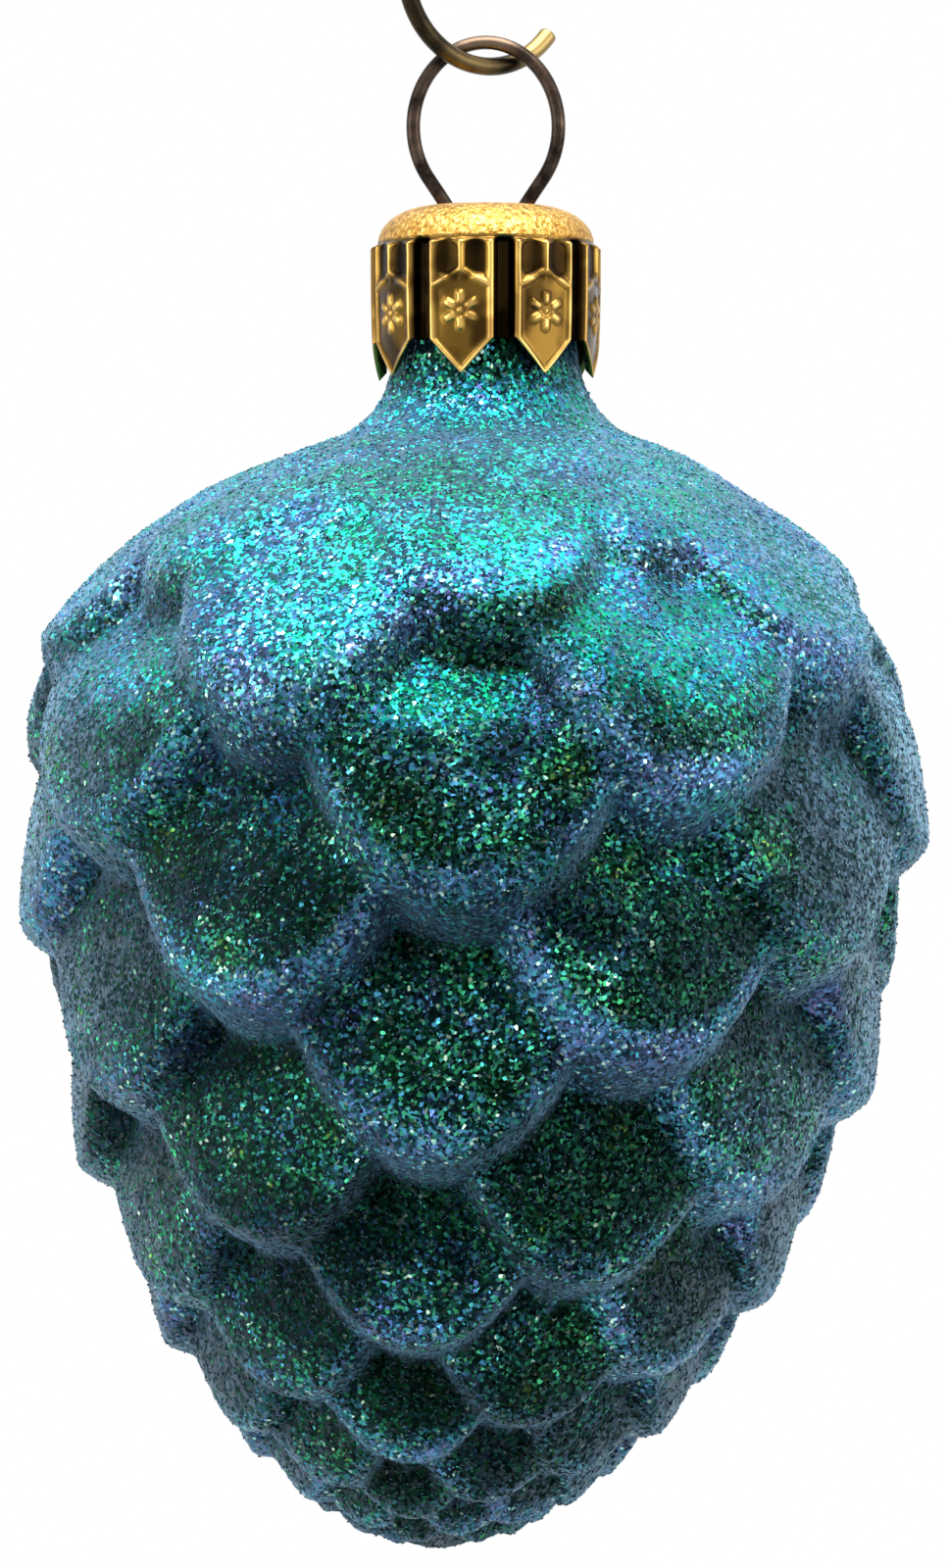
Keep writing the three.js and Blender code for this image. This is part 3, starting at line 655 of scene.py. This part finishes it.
def tube(name, points, radius):
    """Round wire along a line of points, with cut ends whose edges are rounded over."""
    curve = bpy.data.curves.new(name, "CURVE")
    curve.dimensions = "3D"
    curve.bevel_depth = radius
    curve.bevel_resolution = WIRE_SMOOTHNESS
    curve.use_fill_caps = True
    points = np.array(points)
    length = np.concatenate([[0], np.cumsum(np.linalg.norm(np.diff(points, axis=0), axis=1))])
    burr = END_ROUND * radius
    caps = burr * (1 - np.cos(np.linspace(0, math.pi / 2, END_STEPS)))
    middle = np.linspace(burr, length[-1] - burr, WIRE_STEPS)
    places = np.concatenate([caps[:-1], middle, (length[-1] - caps[:-1])[::-1]])
    line = np.stack([np.interp(places, length, points[:, i]) for i in range(3)], -1)
    edge = np.clip(np.minimum(places, length[-1] - places) / burr, 0, 1)
    widths = 1 - END_ROUND * (1 - np.sqrt(1 - (1 - edge) ** 2))
    spline = curve.splines.new("POLY")
    spline.points.add(len(line) - 1)
    for point, place, width in zip(spline.points, line, widths):
        point.co = (*place, 1)
        point.radius = width
    wire = bpy.data.objects.new(name, curve)
    bpy.context.scene.collection.objects.link(wire)
    bpy.ops.object.select_all(action="DESELECT")
    wire.select_set(True)
    bpy.context.view_layer.objects.active = wire
    bpy.ops.object.convert(target="MESH")
    wire = bpy.context.object
    bpy.ops.object.shade_smooth()
    return wire


def make_hanger():
    """The loop over the cap, and the two legs that pinch below its sheet and spread inside the neck."""
    top = CAP_HIGH.z
    widest = top + LOOP_WIDEST
    half = []
    for bend in np.linspace(0, math.pi / 2, HALF_LOOP_STEPS):
        half.append((LOOP_HALF_WIDTH * math.sin(bend), 0, widest + LOOP_RISE * math.cos(bend)))
    for bend in np.linspace(0, ROUND_END, LOOP_FOOT_STEPS)[1:]:
        half.append((LOOP_HALF_WIDTH * math.cos(bend), 0, widest - LOOP_RISE * math.sin(bend)))
    pinch = np.array((LEG_SPACING - LEG_PINCH, 0, top - LEG_PINCH_DEPTH))
    foot = np.array((NECK_RADIUS - GLASS_WALL - LEG_WALL_GAP - HANGER_WIRE, 0, top - LEG_LENGTH))
    half.append((LEG_SPACING - LEG_SLOPE * CAP_SHEET, 0, top - CAP_SHEET))
    half += [pinch, pinch + PINCH_EASING * (foot - pinch), foot]
    other = [(-x, y, z) for x, y, z in half[:0:-1]]
    return tube("spring_wire_hanger", rounded(other + half, HANGER_ROUNDING), HANGER_WIRE)


def make_hook():
    """Two round bends that a straight shank joins, in one plane turned from the front."""
    end = math.pi / 2 + math.asin((HOOK_LOWER + HOOK_UPPER) / HOOK_SPACING)
    line = []
    for bend in np.linspace(TIP_BEND, -end, HOOK_STEPS):
        line.append((HOOK_LOWER * math.sin(bend), HOOK_LOWER_CENTRE - HOOK_LOWER * math.cos(bend)))
    for bend in np.linspace(end, -math.radians(HOOK_UPPER_TIP), HOOK_STEPS):
        line.append((HOOK_UPPER * math.sin(bend), HOOK_UPPER_CENTRE + HOOK_UPPER * math.cos(bend)))
    points = [(aside * math.cos(TURN), aside * math.sin(TURN), height) for aside, height in line]
    return tube("bent_wire_hook", rounded(points, HOOK_ROUNDING), HOOK_WIRE)


# Materials

def add(tree, kind, inputs=None, stops=(), **settings):
    """Adds a node with its settings, its ramp's stops, and values or other nodes' outputs on its inputs."""
    node = tree.nodes.new("ShaderNode" + kind)
    for name, value in settings.items():
        setattr(node, name, value)
    for socket, value in (inputs or {}).items():
        if isinstance(value, bpy.types.NodeSocket):
            tree.links.new(value, node.inputs[socket])
        else:
            node.inputs[socket].default_value = value
    for number, (place, colour) in enumerate(stops):
        elements = node.color_ramp.elements
        element = elements[number] if number < 2 else elements.new(place)
        element.position = place
        element.color = linear(colour)
    return node


def new_material(name):
    """A material without nodes, and its tree."""
    material = bpy.data.materials.new(name)
    material.use_nodes = True
    material.node_tree.nodes.clear()
    return material, material.node_tree


def glitter_material(name, own_chance):
    """Polyester glitter on dark green lacquer. Each flake has a tone and a colour of its own by chance:
    most are dark and few flash, and the flashes are painted glints. Those on upper sides are turquoise and
    bright, a painted light from above; those on the lips paler and bluer, a painted sheen; and those in the
    hollows darker, a painted shade. Loose flakes bring their chance with them, and on the glass each cell
    of the pattern is one flake, tilted by the same chance."""
    material, tree = new_material(name)
    place = add(tree, "TexCoord").outputs["Object"]
    if own_chance:
        chance = add(tree, "Attribute", attribute_name="chance").outputs["Vector"]
    else:
        chance = add(tree, "TexVoronoi", {"Vector": place, "Scale": 1 / FLAKE}).outputs["Color"]
    parts = add(tree, "SeparateColor", {"Color": chance})
    patches = add(tree, "TexNoise", {"Vector": place, "Scale": 1 / PATCH, "Detail": 1.0})
    patch = add(tree, "MapRange", {"Value": patches.outputs["Fac"], "From Min": PATCH_LOW,
                                   "From Max": PATCH_HIGH, "To Min": PATCH_DARKEST,
                                   "To Max": PATCH_BRIGHTEST})
    hollow_shade = add(tree, "Attribute", attribute_name="hollow_shade").outputs["Fac"]
    # painted shade in the hollows, added to the random darker and brighter patches
    hollow_shade_and_patches = add(tree, "Math", {0: hollow_shade, 1: -PAINTED_HOLLOW_SHADE, 2: patch.outputs[0]},
               operation="MULTIPLY_ADD")
    tone = add(tree, "Math", {0: parts.outputs["Red"], 1: hollow_shade_and_patches.outputs[0]}, operation="ADD").outputs[0]
    clouds = add(tree, "TexNoise", {"Vector": place, "Scale": 1 / CLOUD, "Detail": 2.0})
    cloud = add(tree, "MapRange", {"Value": clouds.outputs["Fac"], "From Min": CLOUD_LOW,
                                   "From Max": CLOUD_HIGH, "To Max": CLOUD_DRIFT})
    near_lip = add(tree, "Attribute", attribute_name="lip").outputs["Fac"]
    drift = add(tree, "Math", {0: near_lip, 1: LIP_SHEEN_DRIFT, 2: cloud.outputs[0]}, operation="MULTIPLY_ADD")
    shade = add(tree, "Math", {0: parts.outputs["Green"], 1: 1 - CLOUD_DRIFT, 2: drift.outputs[0]},
                operation="MULTIPLY_ADD").outputs[0]
    coats = []
    for tones, shades in ((FACE_TONES, FACE_SHADES), (TOP_LIT_TONES, TOP_LIT_SHADES), (LIP_SHEEN_TONES, LIP_SHEEN_SHADES)):
        toned = add(tree, "ValToRGB", {0: tone}, tones)
        shaded = add(tree, "ValToRGB", {0: shade}, shades)
        shaded.color_ramp.interpolation = "CONSTANT"
        both = add(tree, "Mix", {0: 1.0, 6: toned.outputs[0], 7: shaded.outputs[0]},
                   data_type="RGBA", blend_type="MULTIPLY")
        coats.append(both.outputs[2])
    coat, upper, lip = coats
    # painted light from above on upper sides and painted sheen on the lips, stippled in flake by flake
    for place_mark, flakes in (("rise", upper), ("lip", lip)):
        here = add(tree, "Attribute", attribute_name=place_mark).outputs["Fac"]
        drawn = add(tree, "Math", {0: parts.outputs["Blue"], 1: -STIPPLE, 2: here},
                    operation="MULTIPLY_ADD")
        taken = add(tree, "MapRange", {"Value": drawn.outputs[0], "From Min": 0.0,
                                       "From Max": 1 - STIPPLE})
        mixed = add(tree, "Mix", {0: taken.outputs[0], 6: coat, 7: flakes}, data_type="RGBA")
        coat = mixed.outputs[2]
    grazing = add(tree, "LayerWeight", {"Blend": SHEEN_BLEND}).outputs["Facing"]
    sheen = add(tree, "Math", {0: grazing, 1: SHEEN_AT_EDGES, 2: SHEEN_IN_FRONT},
                operation="MULTIPLY_ADD")
    shader = add(tree, "BsdfPrincipled", {"Base Color": coat, "Metallic": 1.0,
                                          "Roughness": FLAKE_ROUGHNESS,
                                          "Sheen Weight": sheen.outputs[0],
                                          "Sheen Tint": linear(SHEEN_COLOUR)})
    if not own_chance:
        centred = add(tree, "VectorMath", {0: chance, 1: (0.5, 0.5, 0.5)}, operation="SUBTRACT")
        tilt = add(tree, "VectorMath", {0: centred.outputs[0], 3: FLAKE_TILT}, operation="SCALE")
        normal = add(tree, "NewGeometry").outputs["Normal"]
        tilted = add(tree, "VectorMath", {0: normal, 1: tilt.outputs[0]}, operation="ADD")
        facing = add(tree, "VectorMath", {0: tilted.outputs[0]}, operation="NORMALIZE")
        tree.links.new(facing.outputs[0], shader.inputs["Normal"])
    add(tree, "OutputMaterial", {"Surface": shader.outputs[0]})
    return material


def cap_material():
    """Gold anodised stamped aluminium: satin and pitted on the dome, and polished on the petals, where the
    ridges take a painted highlight and the hollows and folds a painted shade."""
    material, tree = new_material("Gold anodised stamped aluminium")
    place = add(tree, "TexCoord").outputs["Object"]
    pits = add(tree, "TexNoise", {"Vector": place, "Scale": 1 / PIT, "Detail": 2.0})
    clouds = add(tree, "TexNoise", {"Vector": place, "Scale": 1 / DULLING, "Detail": 2.0})
    relief = add(tree, "Attribute", attribute_name="relief").outputs["Fac"]
    dome = add(tree, "Attribute", attribute_name="dome").outputs["Fac"]
    # painted highlight on the ridges and painted shade in the hollows, in bright and dull patches
    bright = add(tree, "ValToRGB", {0: relief}, PETAL_SHADE_AND_HIGHLIGHT_TONES)
    dull = add(tree, "ValToRGB", {0: relief}, DULL_PETAL_SHADE_AND_HIGHLIGHT_TONES)
    dulled = add(tree, "ValToRGB", {0: clouds.outputs["Fac"]},
                 [(DULL_START, "#000000"), (DULL_FULL, "#ffffff")])
    petal = add(tree, "Mix", {0: dulled.outputs[0], 6: bright.outputs[0], 7: dull.outputs[0]},
                data_type="RGBA")
    satin = add(tree, "ValToRGB", {0: pits.outputs["Fac"]}, DOME_TONES)
    colour = add(tree, "Mix", {0: dome, 6: petal.outputs[2], 7: satin.outputs[0]}, data_type="RGBA")
    height = add(tree, "Math", {0: pits.outputs["Fac"], 1: dome}, operation="MULTIPLY")
    bump = add(tree, "Bump", {"Height": height.outputs[0], "Strength": PIT_STRENGTH, "Distance": PIT_DEPTH})
    roughness = add(tree, "Math", {0: dome, 1: DOME_ADDED_ROUGHNESS, 2: PETAL_ROUGHNESS},
                    operation="MULTIPLY_ADD")
    shader = add(tree, "BsdfPrincipled", {"Base Color": colour.outputs[2], "Metallic": 1.0,
                                          "Roughness": roughness.outputs[0], "Normal": bump.outputs[0]})
    add(tree, "OutputMaterial", {"Surface": shader.outputs[0]})
    return material


def wire_material(name, tones, patch, rub_place, rub_reach):
    """Drawn wire, smooth and dull. Its dark plated skin is worn in patches, and rubbed bright around one
    place."""
    material, tree = new_material(name)
    place = add(tree, "TexCoord").outputs["Object"]
    wear = add(tree, "TexNoise", {"Vector": place, "Scale": 1 / patch, "Detail": 4.0})
    away = add(tree, "VectorMath", {0: place, 1: rub_place}, operation="DISTANCE")
    rubbed = add(tree, "MapRange", {"Value": away.outputs["Value"], "From Min": rub_reach,
                                    "From Max": 0.0})
    both = add(tree, "Math", {0: wear.outputs["Fac"], 1: rubbed.outputs[0]}, operation="ADD")
    worn = add(tree, "ValToRGB", {0: both.outputs[0]}, tones)
    shader = add(tree, "BsdfPrincipled", {"Base Color": worn.outputs[0], "Metallic": 1.0,
                                          "Roughness": WIRE_ROUGHNESS})
    add(tree, "OutputMaterial", {"Surface": shader.outputs[0]})
    return material


def dress(piece, material, body):
    """Gives a finished piece its material and the body it moves with."""
    piece.data.materials.clear()
    piece.data.materials.append(material)
    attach(piece, body)


glass = make_glass()
coat = glitter_material("Polyester glitter on green lacquered glass", False)
dress(glass, coat, "glass")
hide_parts("glass_cone")
loose = glitter_material("Loose flakes of polyester glitter", True)
widest_place = TIP_HEIGHT + WIDEST
for name, low, high, seed in [("upper_glitter_flakes", widest_place, CAP_LOW.z, UPPER_FLAKES_SEED),
                              ("lower_glitter_flakes", TIP_HEIGHT, widest_place, LOWER_FLAKES_SEED)]:
    dress(make_flakes(name, glass, low, high, seed), loose, "glass")

cap = make_cap()
dress(cap, cap_material(), "hanger")
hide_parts("crown_cap")

hanger = make_hanger()
bronzed = wire_material("Bronzed spring steel wire", HANGER_TONES, HANGER_WEAR, (0, 0, HANGER_TOP),
                        HANGER_RUB)
dress(hanger, bronzed, "hanger")
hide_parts("hanger_wire")

hook = make_hook()
plated = wire_material("Antique brass plated wire", HOOK_TONES, HOOK_WEAR, HOOK_TIP, HOOK_RUB)
dress(hook, plated, "hook")
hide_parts("hook_wire")


# Stage, light and camera

def seen_directly(tree):
    """1 for rays from the camera and for those that metal and glass reflect or let through."""
    rays = add(tree, "LightPath").outputs
    seen = rays["Is Camera Ray"]
    for kind in ("Is Glossy Ray", "Is Transmission Ray"):
        seen = add(tree, "Math", {0: seen, 1: rays[kind]}, operation="MAXIMUM").outputs[0]
    return seen


def make_stage():
    """A pale paper floor far below the hanging ornament. It is matte, and seen directly it is the white of
    the backdrop."""
    bpy.ops.mesh.primitive_plane_add(size=FLOOR_SIZE, location=(0, 0, TIP_HEIGHT - FLOOR_DROP))
    floor = bpy.context.object
    floor.name = "pale_floor"
    material, tree = new_material("Matte white paper")
    matte = add(tree, "BsdfDiffuse", {"Color": linear("#f4f4f2")})
    white = add(tree, "Emission", {"Color": linear("#ffffff"), "Strength": 1.0})
    mixed = add(tree, "MixShader", {0: seen_directly(tree), 1: matte.outputs[0], 2: white.outputs[0]})
    add(tree, "OutputMaterial", {"Surface": mixed.outputs[0]})
    floor.data.materials.append(material)


def make_world():
    """Soft even light from the room, and white where the camera or a mirror sees past the ornament."""
    world = bpy.data.worlds.new("studio")
    bpy.context.scene.world = world
    world.use_nodes = True
    tree = world.node_tree
    tree.nodes.clear()
    room = add(tree, "Background", {"Color": linear("#ffffff"), "Strength": ROOM_LIGHT})
    white = add(tree, "Background", {"Color": linear("#ffffff"), "Strength": 1.0})
    mixed = add(tree, "MixShader", {0: seen_directly(tree), 1: room.outputs[0], 2: white.outputs[0]})
    add(tree, "OutputWorld", {"Surface": mixed.outputs[0]})


def make_lamp(name, place, size, power):
    """A square softbox of a size in metres and a power in watts, aimed at the middle of the glass."""
    bpy.ops.object.light_add(type="AREA", location=place)
    lamp = bpy.context.object
    lamp.name = name
    lamp.data.size = size
    lamp.data.energy = power
    middle = Vector((0, 0, (GLASS_LOW.z + GLASS_HIGH.z) / 2))
    lamp.rotation_euler = (middle - Vector(place)).to_track_quat("-Z", "Y").to_euler()


def make_camera():
    """Looks level at the ornament from the front, and frames it as the photograph does."""
    bpy.ops.object.camera_add(location=(CAMERA_ASIDE, -CAMERA_DISTANCE, CAMERA_HEIGHT),
                              rotation=(math.pi / 2, 0, 0))
    camera = bpy.context.object
    camera.data.sensor_fit = "VERTICAL"
    camera.data.sensor_height = SENSOR
    camera.data.lens = SENSOR * CAMERA_DISTANCE / (PHOTO_HEIGHT * PIXEL)
    bpy.context.scene.camera = camera


make_stage()
make_world()
for name, place, size, power in SOFTBOXES:
    make_lamp(name, place, size, power)
make_camera()
bpy.context.scene.view_settings.view_transform = "Standard"
